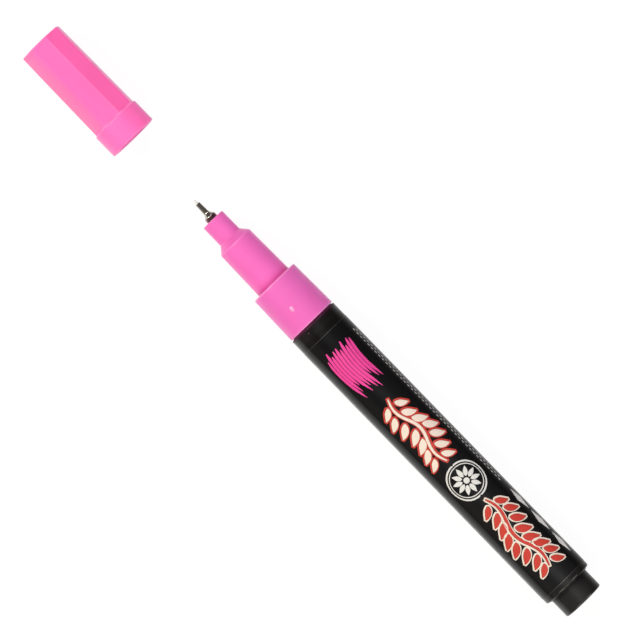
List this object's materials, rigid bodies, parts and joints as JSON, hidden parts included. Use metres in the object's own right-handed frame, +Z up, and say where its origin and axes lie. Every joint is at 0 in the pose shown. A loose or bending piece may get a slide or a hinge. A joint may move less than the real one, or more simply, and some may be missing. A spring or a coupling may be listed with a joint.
{
  "type": "liquid chalk marker",
  "caption": "Slim pump-action liquid chalk marker: black barrel, stepped pink front section, needle nib in a metal sleeve, and a faceted pink cap pulled off in line.",
  "frame": {"origin": "on the surface the pen lies on, below the seam between the barrel and the front section, which is midway between the tail and the closed end of the pulled-off cap", "axes": "+X along the pen towards the nib and the cap, +Z up from the surface"},
  "size_m": [0.1873, 0.0138, 0.0138],
  "materials": {
    "black_plastic": "glossy moulded black",
    "label_film": "glossy black printed film",
    "tail_plastic": "satin moulded black",
    "pink_plastic": "semi-gloss moulded pink",
    "natural_plastic": "natural moulded",
    "liner_plastic": "soft natural moulded",
    "seal_rubber": "matte",
    "spring_steel": "drawn wire",
    "ball_steel": "polished",
    "tip_metal": "bright nickel",
    "nib_plastic": "satin",
    "wick_fibre": "bonded fibre"
  },
  "bodies": {
    "pen": {"barrel": "black_plastic", "label_film": "label_film", "tail_plug": "tail_plastic", "front_section": "pink_plastic", "valve_housing": "natural_plastic", "valve_seal": "seal_rubber", "valve_spring": "spring_steel", "spring_retainer": "natural_plastic"},
    "tip": {"nib": "nib_plastic", "nib_sleeve": "tip_metal", "nib_carrier": "natural_plastic", "feed_wick": "wick_fibre", "valve_stem": "natural_plastic"},
    "ball": {"mixing_ball": "ball_steel"},
    "cap": {"cap_shell": "pink_plastic", "inner_cap": "liner_plastic"}
  },
  "joints": [
    {"name": "nib_press", "type": "slide", "parent": "pen", "child": "tip", "axis": [-1, 0, 0], "range_m": [0, 0.0011], "stiffness_N_per_m": 600, "springref_m": -0.001, "deforming": ["valve_spring"]},
    {"name": "cap_slide", "type": "slide", "parent": "pen", "child": "cap", "axis": [-1, 0, 0], "range_m": [0, 0.04829]},
    {"name": "ball_roll", "type": "slide", "parent": "pen", "child": "ball", "axis": [1, 0, 0], "range_m": [-0.03377, 0.0341]}
  ]
}
